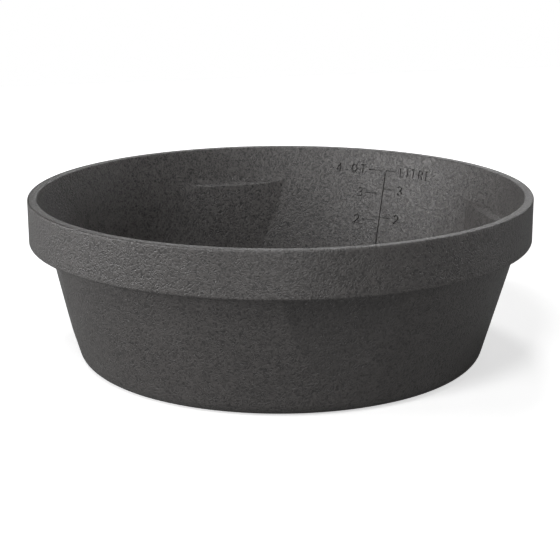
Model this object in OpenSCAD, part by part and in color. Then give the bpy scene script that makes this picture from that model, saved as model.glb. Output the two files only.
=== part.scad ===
// Rubber feed tub: a round, tapered pan moulded from fibre-filled rubber.
// The mould is charged with three blanks that cure together: a floor dish, a wall strip and a rim band.
// The origin is on the ground under the middle of the floor, +Z up. Flats lie on +X, +Y, -X and -Y.

/* [Wall] */
// Overall height of the tub
tub_h = 97.5; // [80:0.5:140]
// Diameter of the wall's outer face, carried down to the ground
base_d = 236; // [180:1:320]
// Lean of the wall from the vertical, in degrees
wall_lean = 16; // [10:0.5:24]
// Thickness of the wall
wall_t = 4.6; // [3:0.1:7]

/* [Floor] */
// Thickness of the floor
floor_t = 10; // [6:0.5:16]
// Outside radius where the floor turns up into the wall
heel_r = 9; // [4:0.5:14]
// Inside radius where the floor turns up into the wall
cove_r = 11; // [6:0.5:18]
// Height of the floor's upturned edge above the cove
edge_rise = 1; // [0.5:0.5:6]
// Drop of the skived floor seam from its inner edge to its outer edge
skive_drop = 4; // [1:0.5:6]

/* [Rim] */
// Height of the rim band
rim_h = 26; // [16:0.5:36]
// Thickness of the band outside the wall's top edge
rim_t = 2.5; // [1.5:0.1:6]
// Height of the lip that covers the wall's top edge
lip_h = 7; // [4:0.5:10]
// Rounding of the rim's outer edges
rim_edge_r = 1.2; // [0.4:0.1:2.4]
// Rounding of the rim's inner edge
rim_lip_r = 1.2; // [0.4:0.1:1.6]

/* [Flats] */
// Number of flats pressed into the wall
flat_count = 4; // [3:1:6]
// Depth of each flat where it meets the rim
flat_depth = 4.5; // [2:0.1:8]
// Height of each flat's foot above the floor seam
flat_foot_rise = 1; // [0.5:0.5:15]
// Slope of the stacking shoulder above each flat, inside the tub, in degrees
shoulder_slope = 14; // [8:1:40]
// Height above the underside of the rim where the shoulder's slope meets the bore
shoulder_rise = 3.7; // [2:0.1:8]
// Radius that turns the shoulder up into the bore
shoulder_cove_r = 6; // [2:0.5:9]

/* [Hidden] */
$fn = 180;
arc_steps = 10;
// How far the shoulder's cove runs on into the wall's thickness
cove_root = 0.15;

// Level thickness of the leaning wall
wall_level_t = wall_t / cos(wall_lean);

// Heights, from the ground up
cove_top_z = floor_t + cove_r * (1 - sin(wall_lean));
seam_in_z = cove_top_z + edge_rise;
seam_out_z = seam_in_z - skive_drop;
flat_foot_z = seam_in_z + flat_foot_rise;
rim_under_z = tub_h - rim_h;
shoulder_z = rim_under_z + shoulder_rise;
lap_z = tub_h - lip_h;

// Radius of the wall's outer face, of its inner face and of the middle of its thickness at a height
function wall_r(z) = base_d / 2 + z * tan(wall_lean);
function bore_r(z) = wall_r(z) - wall_level_t;
function mid_r(z) = wall_r(z) - wall_level_t / 2;

rim_r = wall_r(lap_z) + rim_t;

// Distance of a flat's outer face from the axis at a height, and of the inner face behind it
flat_top_x = wall_r(rim_under_z) - flat_depth;
flat_foot_x = wall_r(flat_foot_z);
flat_slope = (flat_top_x - flat_foot_x) / (rim_under_z - flat_foot_z);
flat_level_t = wall_t / cos(atan(flat_slope));
function flat_x(z) = flat_foot_x + (z - flat_foot_z) * flat_slope;
function flat_bore_x(z) = flat_x(z) - flat_level_t;

function unit(v) = v / norm(v);

// Points that round corner b, a triple [r, z, radius], between its neighbours a and c
function corner_arc(a, b, c) =
    let (
        tip = [b.x, b.y],
        to_a = unit([a.x, a.y] - tip),
        to_c = unit([c.x, c.y] - tip),
        half = acos(to_a * to_c) / 2,
        centre = tip + unit(to_a + to_c) * b.z / sin(half),
        start = tip + to_a * b.z / tan(half) - centre,
        end = tip + to_c * b.z / tan(half) - centre,
        sweep = atan2(cross(start, end), start * end),
        from = atan2(start.y, start.x)
    )
    [for (k = [0:arc_steps]) centre + b.z * [cos(from + sweep * k / arc_steps), sin(from + sweep * k / arc_steps)]];

// Outline through corners [r, z, radius], each turned by its own radius
function rounded(corners) =
    let (n = len(corners))
    [
        for (i = [0:n - 1])
            each corners[i].z == 0
                ? [[corners[i].x, corners[i].y]]
                : corner_arc(corners[(i + n - 1) % n], corners[i], corners[(i + 1) % n])
    ];

module turned(corners) {
    rotate_extrude() polygon(rounded(corners));
}

// An outline [x, z] extruded right across the tub, once for each flat
module at_each_flat(outline) {
    for (i = [0:flat_count - 1])
        rotate(i * 360 / flat_count)
            rotate([90, 0, 0])
                linear_extrude(height = base_d, center = true)
                    polygon(outline);
}

// What each flat takes off the outside of the wall, up to the underside of the rim
module flat_cuts() {
    at_each_flat([
        [flat_x(0), 0],
        [flat_x(rim_under_z), rim_under_z],
        [rim_r, rim_under_z],
        [rim_r, 0]
    ]);
}

// Rubber that stands into the bore behind each flat, under a sloping shoulder that a stacked tub rides on.
// A cove turns the shoulder up. It and the flat both run on into the wall's thickness, so they meet the bore in clean edges.
module shoulders() {
    foot_r = flat_bore_x(seam_in_z) - wall_t;
    meet_r = bore_r(shoulder_z) + cove_root;
    root_z = shoulder_z + shoulder_cove_r;
    intersection() {
        turned([
            [foot_r, seam_in_z, 0],
            [mid_r(seam_in_z), seam_in_z, 0],
            [mid_r(root_z), root_z, 0],
            [bore_r(root_z) + cove_root, root_z, 0],
            [meet_r, shoulder_z, shoulder_cove_r],
            [foot_r, shoulder_z - (meet_r - foot_r) * tan(shoulder_slope), 0]
        ]);
        at_each_flat([
            [flat_bore_x(seam_in_z), seam_in_z],
            [flat_bore_x(lap_z), lap_z],
            [rim_r, lap_z],
            [rim_r, seam_in_z]
        ]);
    }
}

// Floor with a rounded heel outside, a cove inside and a skived edge for the wall to stand on
module floor_dish() {
    color("#3f3e3d")
        turned([
            [0, 0, 0],
            [wall_r(0), 0, heel_r],
            [wall_r(seam_out_z), seam_out_z, 0],
            [bore_r(seam_in_z), seam_in_z, 0],
            [bore_r(floor_t), floor_t, cove_r],
            [0, floor_t, 0]
        ]);
}

// Tapered wall of even thickness, pressed in at the flats, whose top edge sits in the rim band
module side_wall() {
    color("#474545")
        difference() {
            union() {
                turned([
                    [wall_r(seam_out_z), seam_out_z, 0],
                    [wall_r(lap_z), lap_z, 0],
                    [bore_r(lap_z), lap_z, 0],
                    [bore_r(seam_in_z), seam_in_z, 0]
                ]);
                shoulders();
            }
            flat_cuts();
        }
}

// Upright band round the wall, with a lip that covers the wall's top edge and carries the bore on up
module rim_band() {
    color("#4f4d4c")
        turned([
            [wall_r(rim_under_z), rim_under_z, 0],
            [rim_r, rim_under_z, rim_edge_r],
            [rim_r, tub_h, rim_edge_r],
            [bore_r(tub_h), tub_h, rim_lip_r],
            [bore_r(lap_z), lap_z, 0],
            [wall_r(lap_z), lap_z, 0]
        ]);
}

floor_dish();
side_wall();
rim_band();
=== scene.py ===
"""Rubber feed tub: a round, tapered pan moulded from fibre-filled rubber, on a white studio floor.

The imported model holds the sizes. Each piece below is turned on the tub's own axis from its
cross-section, the flats are pressed into the wall, and the capacity marks are sunk into its inner face.
"""

from math import atan, cos, pi, radians, sin, tan

import bpy
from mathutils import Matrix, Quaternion, Vector


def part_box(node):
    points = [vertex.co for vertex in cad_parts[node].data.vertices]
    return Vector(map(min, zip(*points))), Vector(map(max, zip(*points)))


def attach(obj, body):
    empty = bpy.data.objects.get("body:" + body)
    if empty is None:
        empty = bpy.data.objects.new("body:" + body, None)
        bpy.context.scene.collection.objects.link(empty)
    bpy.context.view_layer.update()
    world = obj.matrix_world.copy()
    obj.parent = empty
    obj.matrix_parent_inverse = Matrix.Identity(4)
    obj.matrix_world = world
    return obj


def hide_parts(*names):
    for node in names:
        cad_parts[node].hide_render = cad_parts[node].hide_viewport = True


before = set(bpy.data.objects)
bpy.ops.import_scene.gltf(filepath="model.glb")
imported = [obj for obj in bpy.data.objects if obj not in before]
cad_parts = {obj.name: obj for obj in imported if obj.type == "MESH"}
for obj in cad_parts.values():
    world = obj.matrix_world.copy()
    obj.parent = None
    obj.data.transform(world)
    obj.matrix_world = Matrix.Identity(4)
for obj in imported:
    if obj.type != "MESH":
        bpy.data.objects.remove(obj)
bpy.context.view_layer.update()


# Floor dish
# The thickest blank of fibre-filled rubber, with a rounded heel outside and a cove inside. It ends in
# a short upturned edge, skived (cut on a slant), to which the wall is cured in the mould.

MM = 0.001
FLOOR_T = 10 * MM
HEEL_R = 9 * MM
COVE_R = 11 * MM
WALL_T = 4.6 * MM
FLATS = 4
FLOOR_COLUMNS = 240

floor_low, floor_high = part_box("floor_dish")
wall_low, wall_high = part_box("side_wall")
rim_low, rim_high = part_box("rim_band")
seam_in_z = floor_high.z
seam_out_z = wall_low.z
lap_z = wall_high.z
wall_slope = (wall_high.x - floor_high.x) / (lap_z - seam_out_z)
wall_lean = atan(wall_slope)
wall_level_t = WALL_T / cos(wall_lean)


def wall_r(z):
    """Radius of the wall's outer face at a height."""
    return wall_high.x - (lap_z - z) * wall_slope


def bore_r(z):
    """Radius of the wall's inner face at a height."""
    return wall_r(z) - wall_level_t


ARC_STEP = radians(9)
ROW_GAP = 1.6 * MM


def section_points(corners):
    """Points along a closed cross-section of corners (r, z, rounding, press) walked in order.

    A rounded corner becomes an arc and a straight side gets a row every ROW_GAP. Press says what the
    side after the corner takes: 1 the outer face of the flats, -1 their inner face, 0 neither.
    """
    runs = []
    for i, (r, z, rounding, press) in enumerate(corners):
        tip = Vector((r, z))
        before = (Vector(corners[i - 1][:2]) - tip).normalized()
        after = (Vector(corners[(i + 1) % len(corners)][:2]) - tip).normalized()
        if not rounding:
            runs.append(([tip], press))
            continue
        half = before.angle(after) / 2
        centre = tip + (before + after).normalized() * rounding / sin(half)
        start = tip + before * rounding / tan(half) - centre
        sweep = start.angle_signed(tip + after * rounding / tan(half) - centre)
        steps = max(2, round(abs(sweep) / ARC_STEP))
        turns = (-sweep * k / steps for k in range(steps + 1))
        runs.append(([centre + Vector((start.x * cos(a) - start.y * sin(a),
                                       start.x * sin(a) + start.y * cos(a))) for a in turns], press))
    points = []
    for i, (run, press) in enumerate(runs):
        points += [(p.x, p.y, press) for p in run]
        target = runs[(i + 1) % len(runs)][0][0]
        rows = int((target - run[-1]).length / ROW_GAP)
        for k in range(1, rows):
            p = run[-1].lerp(target, k / rows)
            points.append((p.x, p.y, press))
    return points


def add(tree, kind, inputs=(), **settings):
    """A new node with its settings, each input filled from a value or linked from a socket or a node."""
    node = tree.nodes.new(kind)
    for name, value in settings.items():
        setattr(node, name, value)
    sockets = inputs if isinstance(inputs, dict) else dict(enumerate(inputs))
    for key, value in sockets.items():
        if isinstance(value, bpy.types.Node):
            value = next(socket for socket in value.outputs if socket.enabled)
        if isinstance(value, bpy.types.NodeSocket):
            tree.links.new(value, node.inputs[key])
        else:
            node.inputs[key].default_value = value
    return node


turning = bpy.data.node_groups.new("turned rubber", "GeometryNodeTree")
for label, kind in (("Section", "Geometry"), ("Rows", "Int"), ("Columns", "Int"), ("Flats", "Int"),
                    ("Foot radius", "Float"), ("Foot height", "Float"), ("Flat slope", "Float"),
                    ("Flat thickness", "Float"), ("Shoulder edge", "Float"), ("Rubber", "Material")):
    turning.interface.new_socket(label, in_out="INPUT", socket_type="NodeSocket" + kind)
turning.interface.new_socket("Piece", in_out="OUTPUT", socket_type="NodeSocketGeometry")
given = add(turning, "NodeGroupInput").outputs

# Each column of the grid is the whole section, turned on by one step; the last row closes the section
columns = add(turning, "ShaderNodeMath", [given["Columns"], 1], operation="ADD")
grid = add(turning, "GeometryNodeMeshGrid", {"Vertices X": columns, "Vertices Y": given["Rows"]})
index = add(turning, "GeometryNodeInputIndex")
column = add(turning, "FunctionNodeIntegerMath", [index, given["Rows"]], operation="DIVIDE_FLOOR")
row = add(turning, "FunctionNodeIntegerMath", [index, given["Rows"]], operation="MODULO")
count = add(turning, "GeometryNodeAttributeDomainSize", {"Geometry": given["Section"]})
row = add(turning, "FunctionNodeIntegerMath", [row, count], operation="MODULO")
point = add(turning, "GeometryNodeSampleIndex", {
    "Geometry": given["Section"], "Index": row,
    "Value": add(turning, "GeometryNodeInputPosition")}, data_type="FLOAT_VECTOR")
press, shoulder = (
    add(turning, "GeometryNodeSampleIndex", {
        "Geometry": given["Section"], "Index": row,
        "Value": add(turning, "GeometryNodeInputNamedAttribute", {"Name": name})})
    for name in ("press", "shoulder"))
section = add(turning, "ShaderNodeSeparateXYZ", [point]).outputs
round_r, height = section["X"], section["Z"]
step = add(turning, "ShaderNodeMath", [2 * pi, given["Columns"]], operation="DIVIDE")
angle = add(turning, "ShaderNodeMath", [column, step], operation="MULTIPLY")

# A flat is a leaning plane, whose outer and inner faces lie at these distances from the axis
rise = add(turning, "ShaderNodeMath", [height, given["Foot height"]], operation="SUBTRACT")
flat_out = add(turning, "ShaderNodeMath", [
    rise, given["Flat slope"], given["Foot radius"]], operation="MULTIPLY_ADD")
flat_in = add(turning, "ShaderNodeMath", [flat_out, given["Flat thickness"]], operation="SUBTRACT")
inner = add(turning, "ShaderNodeMath", [press, -1], operation="MULTIPLY")
flat = add(turning, "ShaderNodeMix", {"Factor": inner, "A": flat_out, "B": flat_in})

# At every height half of the columns lie on the flats and half on the round wall between them, so one
# of them always runs along each crease
LEAST_CREASE = radians(2)
half_pitch = add(turning, "ShaderNodeMath", [pi, given["Flats"]], operation="DIVIDE")
half_back = add(turning, "ShaderNodeMath", [half_pitch, -1], operation="MULTIPLY")
quarter = add(turning, "ShaderNodeMath", [half_pitch, 2], operation="DIVIDE")
off_middle = add(turning, "ShaderNodeMath", [angle, half_pitch, half_back], operation="WRAP")
away = add(turning, "ShaderNodeMath", [off_middle], operation="ABSOLUTE")
crease = add(turning, "ShaderNodeMath", [flat, round_r], operation="DIVIDE")
crease = add(turning, "ShaderNodeMath", [crease], operation="ARCCOSINE")
crease = add(turning, "ShaderNodeClamp", {"Value": crease, "Min": LEAST_CREASE, "Max": quarter})
near = add(turning, "ShaderNodeMapRange", {"Value": away, "From Max": quarter, "To Max": crease})
swing = add(turning, "ShaderNodeMapRange", {
    "Value": away, "From Min": quarter, "From Max": half_pitch, "To Min": near, "To Max": half_pitch})
side = add(turning, "ShaderNodeMath", [off_middle], operation="SIGN")
middle = add(turning, "ShaderNodeMath", [angle, off_middle], operation="SUBTRACT")
angle = add(turning, "ShaderNodeMath", [swing, side, middle], operation="MULTIPLY_ADD")

# A plane's radius grows away from its middle, and the wall keeps the smaller radius
spread = add(turning, "ShaderNodeMath", [swing], operation="COSINE")
out_r = add(turning, "ShaderNodeMath", [flat_out, spread], operation="DIVIDE")
in_r = add(turning, "ShaderNodeMath", [flat_in, spread], operation="DIVIDE")
in_r = add(turning, "ShaderNodeMath", [in_r, shoulder, given["Shoulder edge"]], operation="SMOOTH_MAX")
outside = add(turning, "ShaderNodeMath", [round_r, out_r], operation="MINIMUM")
inside = add(turning, "ShaderNodeMath", [round_r, in_r], operation="MINIMUM")
radius = add(turning, "ShaderNodeMix", {"Factor": press, "A": round_r, "B": outside})
radius = add(turning, "ShaderNodeMix", {"Factor": inner, "A": radius, "B": inside})
arm = add(turning, "ShaderNodeCombineXYZ", {"X": radius, "Z": height})
place = add(turning, "ShaderNodeVectorRotate", {"Vector": arm, "Angle": angle}, rotation_type="Z_AXIS")
moved = add(turning, "GeometryNodeSetPosition", {"Geometry": grid, "Position": place})

# Each point on the outside of the flats is marked for the material, which gives it less grain and a
# painted shade
WELD = 0.01 * MM
brink = add(turning, "ShaderNodeMath", [round_r, WELD], operation="SUBTRACT")
sunk = add(turning, "ShaderNodeMath", [outside, brink], operation="LESS_THAN")
marked = add(turning, "GeometryNodeStoreNamedAttribute", {
    "Geometry": moved, "Selection": press, "Name": "smooth", "Value": sunk})
closed = add(turning, "GeometryNodeMergeByDistance", {"Geometry": marked, "Distance": WELD})
real = add(turning, "GeometryNodeRealizeInstances", {"Geometry": closed})
coated = add(turning, "GeometryNodeSetMaterial", {"Geometry": real, "Material": given["Rubber"]})
add(turning, "NodeGroupOutput", [coated])

SHARP_EDGE = radians(40)


def evaluated(piece, tree, values):
    """The piece with a plain mesh: the tree's named inputs are set, it is run once, and is taken off."""
    modifier = piece.modifiers.new(tree.name, "NODES")
    modifier.node_group = tree
    names = {item.name: item.identifier for item in tree.interface.items_tree if item.in_out == "INPUT"}
    for label, value in values.items():
        modifier[names[label]] = value
    bpy.context.view_layer.update()
    seen = piece.evaluated_get(bpy.context.evaluated_depsgraph_get())
    mesh = bpy.data.meshes.new_from_object(seen)
    piece.modifiers.remove(modifier)
    piece.data = mesh
    mesh.shade_smooth()
    mesh.set_sharp_from_angle(angle=SHARP_EDGE)
    return piece


def turned_piece(name, corners, values, shoulder=bore_r):
    """A rubber piece turned about the axis from the corners of its cross-section.

    Shoulder gives, for a height, the radius at which the rubber behind the flats ends.
    """
    points = section_points(corners)
    mesh = bpy.data.meshes.new(name)
    mesh.from_pydata([(r, 0, z) for r, z, _ in points], [], [])
    for label, numbers in (("press", [p for _, _, p in points]),
                           ("shoulder", [shoulder(z) for _, z, _ in points])):
        mesh.attributes.new(label, "FLOAT", "POINT").data.foreach_set("value", numbers)
    piece = bpy.data.objects.new(name, mesh)
    bpy.context.collection.objects.link(piece)
    on_axis = corners[0][0] == corners[-1][0] == 0
    return evaluated(piece, turning, {
        "Rows": len(points) + (not on_axis), "Flats": FLATS, "Rubber": rubber, **values})


def linear(code):
    """Linear colour of an sRGB hex code."""
    parts = (int(code[i:i + 2], 16) / 255 for i in (1, 3, 5))
    return (*(c / 12.92 if c <= 0.04045 else ((c + 0.055) / 1.055) ** 2.4 for c in parts), 1)


# Moulded rubber, filled with chopped fibre
# The fibres and the etched mould leave a matte, nearly black ground with paler curls, which stand up a
# little and catch raking light. Rubber's index of refraction is about 1.52, and a thin bloom covers it.
# The real fibres are too fine to show at this size, so they are drawn 0.6 mm wide, about one pixel.
FIBRE_W = 0.6 * MM
FIBRE_GAP = 1.9 * MM
NOISE_CLIMB = 0.8
SWIRL = 1.5 * FIBRE_GAP
BEND = 1.2 * FIBRE_GAP
CLUMP = 4 * MM
SPECK = 1.1 * MM
CLOUD = 30 * MM
RELIEF = 0.14 * MM
RUBBER_DARK = "#1c1b1b"
RUBBER_PALE = "#7a7674"

rubber = bpy.data.materials.new("moulded rubber")
rubber.use_nodes = True
surface = rubber.node_tree
surface.nodes.clear()
where = add(surface, "ShaderNodeTexCoord").outputs["Object"]
swirl = add(surface, "ShaderNodeTexNoise", {"Vector": where, "Scale": 1 / SWIRL, "Detail": 1})
bent = add(surface, "ShaderNodeVectorMath", [
    swirl.outputs["Color"], (BEND, BEND, BEND), where], operation="MULTIPLY_ADD")


def curls(seed, gap):
    """Curls like matted fibre, FIBRE_W wide, along the middle level of a smooth noise.

    There the noise climbs by about NOISE_CLIMB over one gap, which turns the width into a level.
    """
    noise = add(surface, "ShaderNodeTexNoise", {
        "Vector": bent, "W": seed, "Scale": 1 / gap, "Detail": 0}, noise_dimensions="4D")
    level = add(surface, "ShaderNodeMath", [noise, 0.5], operation="SUBTRACT")
    level = add(surface, "ShaderNodeMath", [level], operation="ABSOLUTE")
    return add(surface, "ShaderNodeMapRange", {
        "Value": level, "From Max": NOISE_CLIMB * FIBRE_W / 2 / gap, "To Min": 1, "To Max": 0},
        interpolation_type="SMOOTHSTEP")


# Two layers of fibre cross each other and show more in some clumps; a third one is the dark gaps
CLUMP_FROM, CLUMP_TO, LEAST_SHOWING = 0.35, 0.6, 0.7
matted = add(surface, "ShaderNodeMath", [
    curls(0, FIBRE_GAP), curls(3, 0.9 * FIBRE_GAP)], operation="MAXIMUM")
clump = add(surface, "ShaderNodeTexNoise", {"Vector": where, "Scale": 1 / CLUMP, "Detail": 1})
showing = add(surface, "ShaderNodeMapRange", {
    "Value": clump, "From Min": CLUMP_FROM, "From Max": CLUMP_TO, "To Min": LEAST_SHOWING})
fibres = add(surface, "ShaderNodeMath", [matted, showing], operation="MULTIPLY")
gaps = curls(7, 1.2 * FIBRE_GAP)
speck = add(surface, "ShaderNodeTexNoise", {"Vector": where, "Scale": 1 / SPECK, "Detail": 1})
cloud = add(surface, "ShaderNodeTexNoise", {"Vector": where, "Scale": 1 / CLOUD, "Detail": 3})

# Fibres and specks stand up and are pale, gaps lie deep and are dark
SPECK_RISE, GAP_SINK = 0.6, -0.4
FIBRE_PALE, SPECK_PALE, GAP_DARK, GRAIN_LEVEL = 0.55, 0.2, -0.3, -0.27
relief = add(surface, "ShaderNodeMath", [speck, SPECK_RISE, fibres], operation="MULTIPLY_ADD")
relief = add(surface, "ShaderNodeMath", [gaps, GAP_SINK, relief], operation="MULTIPLY_ADD")
grain = add(surface, "ShaderNodeMath", [fibres, FIBRE_PALE, GRAIN_LEVEL], operation="MULTIPLY_ADD")
grain = add(surface, "ShaderNodeMath", [speck, SPECK_PALE, grain], operation="MULTIPLY_ADD")
grain = add(surface, "ShaderNodeMath", [gaps, GAP_DARK, grain], operation="MULTIPLY_ADD")

# Faces that look towards the axis get stronger grain than the outside. Part of it is the rubber's own
# grain and part is painted light and shade, standing in for raking light on their relief
INSIDE_GRAIN_AND_LIGHT, OUTSIDE_GRAIN = 0.78, 0.46
GRAIN_BLEND = 0.3
normal = add(surface, "ShaderNodeNewGeometry").outputs["Normal"]
outward = add(surface, "ShaderNodeVectorMath", [where, (1, 1, 0)], operation="MULTIPLY")
outward = add(surface, "ShaderNodeVectorMath", [outward], operation="NORMALIZE")
facing = add(surface, "ShaderNodeVectorMath", [outward, normal], operation="DOT_PRODUCT")
grain_and_raking_light = add(surface, "ShaderNodeMapRange", {
    "Value": facing, "From Min": -GRAIN_BLEND, "From Max": GRAIN_BLEND,
    "To Min": INSIDE_GRAIN_AND_LIGHT, "To Max": OUTSIDE_GRAIN})

# Fewer pale fibres show on the outside of the flats, and that face gets painted shade, a little darker
# than the lamps alone make it
FLAT_GRAIN_CUT, PAINTED_FLAT_SHADE = -0.35, -0.04
CLOUD_SHADE, MEAN_TONE = 0.1, 0.275
smooth = add(surface, "ShaderNodeAttribute", attribute_name="smooth").outputs["Fac"]
flat_grain = add(surface, "ShaderNodeMath", [smooth, FLAT_GRAIN_CUT, 1], operation="MULTIPLY_ADD")
grain_and_raking_light = add(surface, "ShaderNodeMath", [grain_and_raking_light, flat_grain], operation="MULTIPLY")
tone = add(surface, "ShaderNodeMath", [cloud, CLOUD_SHADE, MEAN_TONE], operation="MULTIPLY_ADD")
# Painted shade: the outside of the flats is made a little darker
tone = add(surface, "ShaderNodeMath", [smooth, PAINTED_FLAT_SHADE, tone], operation="MULTIPLY_ADD")
# The grain goes on the tone; on the inner faces its extra strength is painted light and shade
tone = add(surface, "ShaderNodeMath", [grain, grain_and_raking_light, tone], operation="MULTIPLY_ADD")
colour = add(surface, "ShaderNodeMix", {
    "Factor": tone, "A": linear(RUBBER_DARK), "B": linear(RUBBER_PALE)}, data_type="RGBA")
bump = add(surface, "ShaderNodeBump", {"Height": relief, "Strength": 1, "Distance": RELIEF})
shader = add(surface, "ShaderNodeBsdfPrincipled", {
    "Base Color": colour, "Roughness": 0.55, "IOR": 1.52, "Normal": bump,
    "Coat Weight": 1, "Coat Roughness": 0.4, "Coat IOR": 1.5, "Coat Normal": bump})
add(surface, "ShaderNodeOutputMaterial", {"Surface": shader})

floor_dish = turned_piece("moulded_floor", [
    (0, floor_low.z, 0, 0),
    (wall_r(floor_low.z), floor_low.z, HEEL_R, 0),
    (wall_r(seam_out_z), seam_out_z, 0, 0),
    (bore_r(seam_in_z), seam_in_z, 0, 0),
    (bore_r(FLOOR_T), FLOOR_T, COVE_R, 0),
    (0, FLOOR_T, 0, 0)], {"Columns": FLOOR_COLUMNS})
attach(floor_dish, "root")
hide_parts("floor_dish")


# Side wall
# A tapered strip of the same rubber, cured to the floor and pressed in at four flats, each with a
# sloping shoulder behind it that a stacked tub rides on. Ridges on the mould's core leave the marks.

FLAT_DEPTH = 4.5 * MM
FLAT_FOOT_RISE = 1 * MM
SHOULDER_SLOPE = radians(14)
SHOULDER_RISE = 3.7 * MM
SHOULDER_COVE_R = 6 * MM
SHOULDER_ROW = 0.3 * MM
SHOULDER_EDGE = 0.6 * MM
WALL_COLUMNS = 720

rim_under_z = rim_low.z
flat_foot_z = seam_in_z + FLAT_FOOT_RISE
flat_top_r = wall_r(rim_under_z) - FLAT_DEPTH
flat_slope = (flat_top_r - wall_r(flat_foot_z)) / (rim_under_z - flat_foot_z)

# The shoulder's gentle slope turns up into the bore through a cove, an arc that touches both
shoulder_z = rim_under_z + SHOULDER_RISE
cove_turn = (pi / 2 - wall_lean - SHOULDER_SLOPE) / 2
cove_foot_z = shoulder_z - SHOULDER_COVE_R * tan(cove_turn) * sin(SHOULDER_SLOPE)
cove_head_z = shoulder_z + SHOULDER_COVE_R * tan(cove_turn) * cos(wall_lean)
cove_z = cove_foot_z + SHOULDER_COVE_R * cos(SHOULDER_SLOPE)
cove_r = bore_r(cove_head_z) - SHOULDER_COVE_R * cos(wall_lean)


def shoulder_r(z):
    """Radius of the shoulder at a height. Over the cove it leans off into the wall's thickness."""
    on_arc = min(max(z, cove_foot_z), cove_head_z)
    run = 1 / tan(SHOULDER_SLOPE) if z < on_arc else 2 * wall_slope
    return cove_r + (SHOULDER_COVE_R ** 2 - (cove_z - on_arc) ** 2) ** 0.5 + (z - on_arc) * run


shoulder_rows = int((cove_head_z - rim_under_z) / SHOULDER_ROW)
shoulder_heights = [cove_head_z - k * SHOULDER_ROW for k in range(shoulder_rows)]
side_wall = turned_piece("moulded_wall", [
    (wall_r(seam_out_z), seam_out_z, 0, 1),
    (wall_r(rim_under_z), rim_under_z, 0, 1),
    (wall_r(rim_under_z), rim_under_z, 0, 0),
    (wall_r(lap_z), lap_z, 0, 0),
    (bore_r(lap_z), lap_z, 0, -1),
    *((bore_r(z), z, 0, -1) for z in shoulder_heights),
    (bore_r(seam_in_z), seam_in_z, 0, 0)], {
        "Columns": WALL_COLUMNS, "Foot radius": wall_r(flat_foot_z), "Foot height": flat_foot_z,
        "Flat slope": flat_slope, "Flat thickness": WALL_T / cos(atan(flat_slope)),
        "Shoulder edge": SHOULDER_EDGE}, shoulder_r)

# Quarts stand to the left of an upright line and litres to its right, half-way between two flats
MARK_ANGLE = radians(45.3)
GROOVE = 1.4 * MM
GROOVE_SINK = 0.4 * GROOVE
GROOVE_SIDES = 10
LETTER_H = 5.2 * MM
LETTER_GAP = 0.55
BOW_STEP = 30


def bow(x, y, wide, high, start, end):
    """Points on an ellipse from one angle to another, in degrees."""
    steps = max(2, round(abs(end - start) / BOW_STEP))
    turns = (radians(start + (end - start) * k / steps) for k in range(steps + 1))
    return [(x + wide * cos(a), y + high * sin(a)) for a in turns]


# Letters are single strokes in a box one letter high, each with the width that it takes
LETTERS = {
    "1": (0.25, [[(0, 0.8), (0.2, 1)], [(0.2, 1), (0.2, 0)]]),
    "2": (0.6, [bow(0.3, 0.7, 0.3, 0.3, 165, -35) + [(0, 0)], [(0, 0), (0.6, 0)]]),
    "3": (0.58, [bow(0.27, 0.75, 0.26, 0.25, 150, -90), bow(0.27, 0.25, 0.31, 0.25, 90, -150)]),
    "4": (0.62, [[(0.46, 1), (0, 0.3), (0.62, 0.3)], [(0.46, 1), (0.46, 0)]]),
    "Q": (0.68, [bow(0.34, 0.5, 0.34, 0.5, 0, 180), bow(0.34, 0.5, 0.34, 0.5, 180, 360),
                 [(0.42, 0.28), (0.7, -0.06)]]),
    "T": (0.6, [[(0, 1), (0.6, 1)], [(0.3, 1), (0.3, 0)]]),
    "L": (0.48, [[(0, 1), (0, 0), (0.48, 0)]]),
    "I": (0.06, [[(0.03, 1), (0.03, 0)]]),
    "R": (0.58, [[(0, 0), (0, 1)], [(0, 1)] + bow(0.28, 0.75, 0.26, 0.25, 90, -90) + [(0, 0.5)],
                 [(0.28, 0.5), (0.58, 0)]]),
    "E": (0.5, [[(0.5, 1), (0, 1), (0, 0), (0.5, 0)], [(0, 0.52), (0.42, 0.52)]]),
    " ": (0.3, []),
}


def lettered(text, x, z, align):
    """Strokes of a word whose left (align 0) or right (align 1) end is at x, centred on height z."""
    length = sum(LETTERS[c][0] for c in text) + LETTER_GAP * (len(text) - 1)
    x -= align * length * LETTER_H
    drawn = []
    for c in text:
        width, letter = LETTERS[c]
        drawn += [[(x + u * LETTER_H, z + (v - 0.5) * LETTER_H) for u, v in stroke] for stroke in letter]
        x += (width + LETTER_GAP) * LETTER_H
    return drawn


SCALE_TOP = 85 * MM
SCALE_FOOT = 28 * MM
QUARTS = {"4 QT": SCALE_TOP, "3": 70.2 * MM, "2": 52.8 * MM, "1": 32.5 * MM}
LITRES = {"LITRE": SCALE_TOP, "3": 73.4 * MM, "2": 55 * MM, "1": 34 * MM}
QUART_TICK = (-12.5 * MM, -3 * MM)
QUART_WORD = -15 * MM
LITRE_TICK = (0, 8 * MM)
LITRE_WORD = 11 * MM
PATH_STEP = 3 * MM

strokes = [[(0, SCALE_TOP), (0, SCALE_FOOT)]]
for word, z in QUARTS.items():
    strokes += [[(x, z) for x in QUART_TICK]] + lettered(word, QUART_WORD, z, 1)
for word, z in LITRES.items():
    strokes += [[(x, z) for x in LITRE_TICK]] + lettered(word, LITRE_WORD, z, 0)

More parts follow.
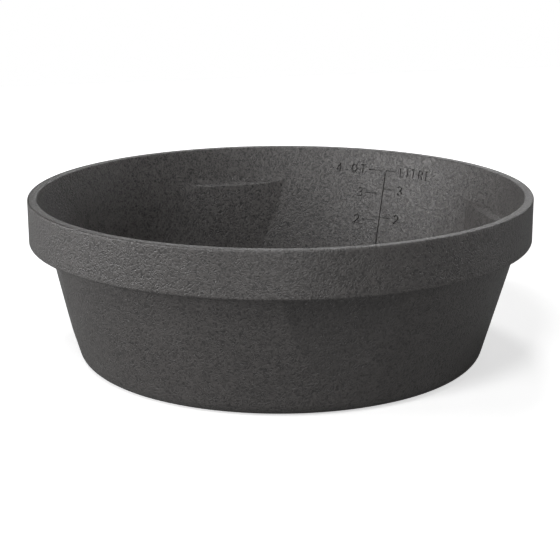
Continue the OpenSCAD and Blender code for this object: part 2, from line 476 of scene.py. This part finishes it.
spots, links = [], []
for stroke in strokes:
    for (x, z), (next_x, next_z) in zip(stroke, stroke[1:]):
        parts = max(1, round(abs(next_x - x) / PATH_STEP))
        for k in range(parts):
            spots.append((x + (next_x - x) * k / parts, z + (next_z - z) * k / parts))
            links.append((len(spots) - 1, len(spots)))
    spots.append(stroke[-1])
on_bore = []
for x, z in spots:
    r = bore_r(z) + GROOVE_SINK
    on_bore.append((r * cos(MARK_ANGLE - x / r), r * sin(MARK_ANGLE - x / r), z))
stroke_mesh = bpy.data.meshes.new("mark_strokes")
stroke_mesh.from_pydata(on_bore, links, [])
mark_strokes = bpy.data.objects.new("mark_strokes", stroke_mesh)
bpy.context.collection.objects.link(mark_strokes)

# Every stroke becomes a round rod along the bore, and the rods are cut out of the wall
sinking = bpy.data.node_groups.new("sunk marks", "GeometryNodeTree")
for label, kind in (("Wall", "Geometry"), ("Strokes", "Object"), ("Groove", "Float"), ("Sides", "Int"),
                    ("Rubber", "Material")):
    sinking.interface.new_socket(label, in_out="INPUT", socket_type="NodeSocket" + kind)
sinking.interface.new_socket("Piece", in_out="OUTPUT", socket_type="NodeSocketGeometry")
given = add(sinking, "NodeGroupInput").outputs
lines = add(sinking, "GeometryNodeObjectInfo", {"Object": given["Strokes"]}).outputs["Geometry"]
paths = add(sinking, "GeometryNodeMeshToCurve", {"Mesh": lines})
groove_r = add(sinking, "ShaderNodeMath", [given["Groove"], 0.5], operation="MULTIPLY")
ring = add(sinking, "GeometryNodeCurvePrimitiveCircle", {
    "Resolution": given["Sides"], "Radius": groove_r})
tubes = add(sinking, "GeometryNodeCurveToMesh", {
    "Curve": paths, "Profile Curve": ring, "Fill Caps": True})
island = add(sinking, "GeometryNodeInputMeshIsland")
apart = add(sinking, "GeometryNodeSplitToInstances", {0: tubes, "Group ID": island})
cut = add(sinking, "GeometryNodeMeshBoolean", {
    "Mesh 1": given["Wall"], "Mesh 2": apart}, operation="DIFFERENCE", solver="MANIFOLD")

# The cut leaves many-sided faces along the grooves, so they are split into triangles
facets = add(sinking, "GeometryNodeTriangulate", {"Mesh": cut})
real = add(sinking, "GeometryNodeRealizeInstances", {"Geometry": facets})
coated = add(sinking, "GeometryNodeSetMaterial", {"Geometry": real, "Material": given["Rubber"]})
add(sinking, "NodeGroupOutput", [coated])
evaluated(side_wall, sinking, {
    "Strokes": mark_strokes, "Groove": GROOVE, "Sides": GROOVE_SIDES, "Rubber": rubber})
bpy.data.objects.remove(mark_strokes)
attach(side_wall, "root")
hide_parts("side_wall")


# Rim band
# An upright band of the same rubber, with a level underside and softly rounded edges. Its lip laps over
# the wall's top edge, to which it is cured, and carries the bore on up.

RIM_EDGE_R = 1.2 * MM
RIM_LIP_R = 1.2 * MM
RIM_COLUMNS = 360

rim_r = rim_high.x
tub_h = rim_high.z
rim_band = turned_piece("moulded_rim", [
    (wall_r(rim_under_z), rim_under_z, 0, 0),
    (rim_r, rim_under_z, RIM_EDGE_R, 0),
    (rim_r, tub_h, RIM_EDGE_R, 0),
    (bore_r(tub_h), tub_h, RIM_LIP_R, 0),
    (bore_r(lap_z), lap_z, 0, 0),
    (wall_r(lap_z), lap_z, 0, 0)], {"Columns": RIM_COLUMNS})
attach(rim_band, "root")
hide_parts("rim_band")


# Studio
# A sheet of white paper keeps the tub's soft shadow, and fades to white away from it. The world is
# white to the camera only, so softboxes alone light the tub.

WHITE = "#ffffff"
PAPER_WHITE = "#f4f4f4"
PAPER_BOUNCE = "#959595"
PAPER_REACH = 1.2
FADE_FROM, FADE_TO = 0.3, 0.8
NEAR_GLOW = 0.6

studio_floor_mesh = bpy.data.meshes.new("studio_floor")
studio_floor_mesh.from_pydata(
    [(x * PAPER_REACH, y * PAPER_REACH, 0) for x, y in ((-1, -1), (1, -1), (1, 1), (-1, 1))],
    [], [(0, 1, 2, 3)])
studio_floor = bpy.data.objects.new("studio_floor", studio_floor_mesh)
bpy.context.collection.objects.link(studio_floor)
paper = bpy.data.materials.new("white paper")
paper.use_nodes = True
sheet = paper.node_tree
sheet.nodes.clear()
to_camera = add(sheet, "ShaderNodeLightPath").outputs["Is Camera Ray"]
shade = add(sheet, "ShaderNodeMix", {
    "Factor": to_camera, "A": linear(PAPER_BOUNCE), "B": linear(PAPER_WHITE)}, data_type="RGBA")
matte = add(sheet, "ShaderNodeBsdfDiffuse", {"Color": shade})
spot = add(sheet, "ShaderNodeTexCoord").outputs["Object"]
from_tub = add(sheet, "ShaderNodeVectorMath", [spot], operation="LENGTH")
fade = add(sheet, "ShaderNodeMapRange", {
    "Value": from_tub, "From Min": FADE_FROM, "From Max": FADE_TO, "To Min": NEAR_GLOW})
glow = add(sheet, "ShaderNodeMath", [to_camera, fade], operation="MULTIPLY")
glow = add(sheet, "ShaderNodeEmission", {"Color": linear(WHITE), "Strength": glow})
both = add(sheet, "ShaderNodeAddShader", [matte, glow])
add(sheet, "ShaderNodeOutputMaterial", {"Surface": both})
studio_floor_mesh.materials.append(paper)

world = bpy.data.worlds.new("studio")
bpy.context.scene.world = world
world.use_nodes = True
sky = world.node_tree
sky.nodes.clear()
to_camera = add(sky, "ShaderNodeLightPath").outputs["Is Camera Ray"]
backdrop = add(sky, "ShaderNodeBackground", {"Color": linear(WHITE), "Strength": to_camera})
add(sky, "ShaderNodeOutputWorld", {"Surface": backdrop})

# The camera looks down on the tub at 15 degrees, turned 14 degrees off the middle of a flat
AZIMUTH = radians(-14)
ELEVATION = radians(15.31)
ROLL = radians(-0.183)
LENS = 94.52
DISTANCE = 0.8754
AIM_HEIGHT = 42.5 * MM
AIM_ACROSS = -0.4 * MM


def direction(around, up):
    """Direction from the tub to a place round it, from its azimuth and its elevation."""
    return Vector((sin(around) * cos(up), -cos(around) * cos(up), sin(up)))


back = direction(AZIMUTH, ELEVATION)
aim = Vector((0, 0, AIM_HEIGHT)) + Vector((cos(AZIMUTH), sin(AZIMUTH), 0)) * AIM_ACROSS
camera = bpy.data.objects.new("camera", bpy.data.cameras.new("camera"))
bpy.context.collection.objects.link(camera)
camera.location = aim + back * DISTANCE
camera.rotation_mode = "QUATERNION"
camera.rotation_quaternion = back.to_track_quat("Z", "Y") @ Quaternion((0, 0, 1), ROLL)
camera.data.lens = LENS
bpy.context.scene.camera = camera

LAMP_DISTANCE = 1.6
LAMP_SIZE = 0.35


def softbox(name, turn, lift, watts):
    """Square area light aimed at the tub, turned from the camera to its right and lifted, in degrees."""
    lamp = bpy.data.objects.new(name, bpy.data.lights.new(name, "AREA"))
    bpy.context.collection.objects.link(lamp)
    towards = direction(AZIMUTH + radians(turn), radians(lift))
    lamp.location = aim + towards * LAMP_DISTANCE
    lamp.rotation_mode = "QUATERNION"
    lamp.rotation_quaternion = towards.to_track_quat("Z", "Y")
    lamp.data.size = LAMP_SIZE
    lamp.data.energy = watts


softbox("key", -80, 12, 6.7)
softbox("high key", -90, 25, 3.1)
softbox("front key", -50, 20, 5.2)
softbox("edge", -120, 5, 1.3)
softbox("front", 0, 5, 3.6)
softbox("overhead", -15, 50, 7.2)
softbox("fill", 50, 32, 1.7)
softbox("top", 180, 65, 5.4)
softbox("back", 170, 25, 1.2)
softbox("back left", -170, 25, 0.8)
softbox("back edge", 150, 20, 1.3)
softbox("kicker", 100, 8, 1.9)

bpy.context.scene.view_settings.view_transform = "Standard"
